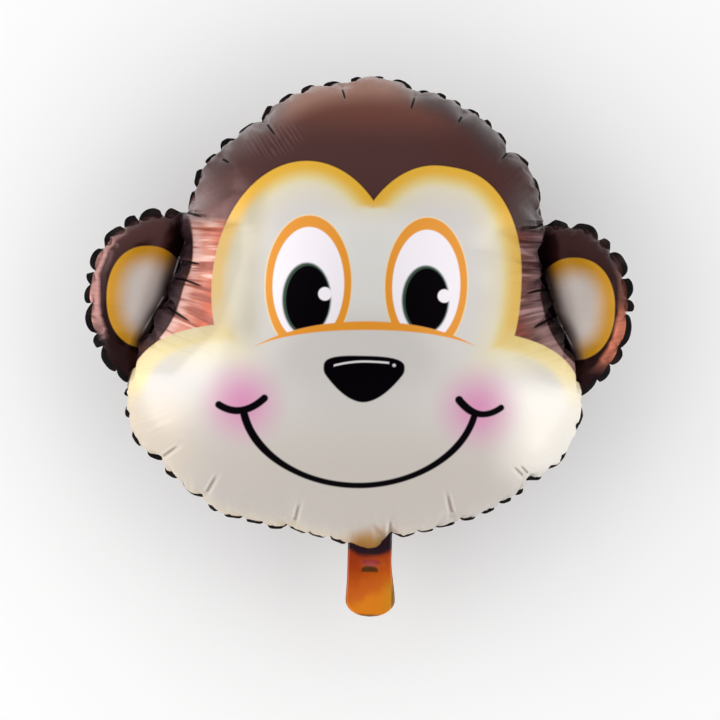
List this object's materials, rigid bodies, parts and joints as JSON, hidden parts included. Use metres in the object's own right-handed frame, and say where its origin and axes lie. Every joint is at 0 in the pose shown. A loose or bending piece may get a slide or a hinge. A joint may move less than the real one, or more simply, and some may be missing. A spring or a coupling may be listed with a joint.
{
  "type": "foil monkey head balloon",
  "caption": "Blown-up foil balloon shaped as a smiling cartoon monkey's head, two pleated film sheets welded round one seam, with an amber filling tail at the chin.",
  "frame": {"origin": "middle of the small flat spot on the back that the balloon rests on", "axes": "+X to the side on the right of the face as seen, +Y from chin to crown, +Z the way the face looks"},
  "size_m": [0.5035, 0.4855, 0.2445],
  "materials": {
    "printed_foil": "satin metallised film, printed with a cream and brown monkey's face",
    "plain_foil": "dark brown metallised film with a soft shine",
    "amber_film": "amber film with a darker welded edge"
  },
  "bodies": {
    "root": {"front_foil": "printed_foil", "back_foil": "plain_foil", "filling_tail": "amber_film"}
  },
  "joints": []
}
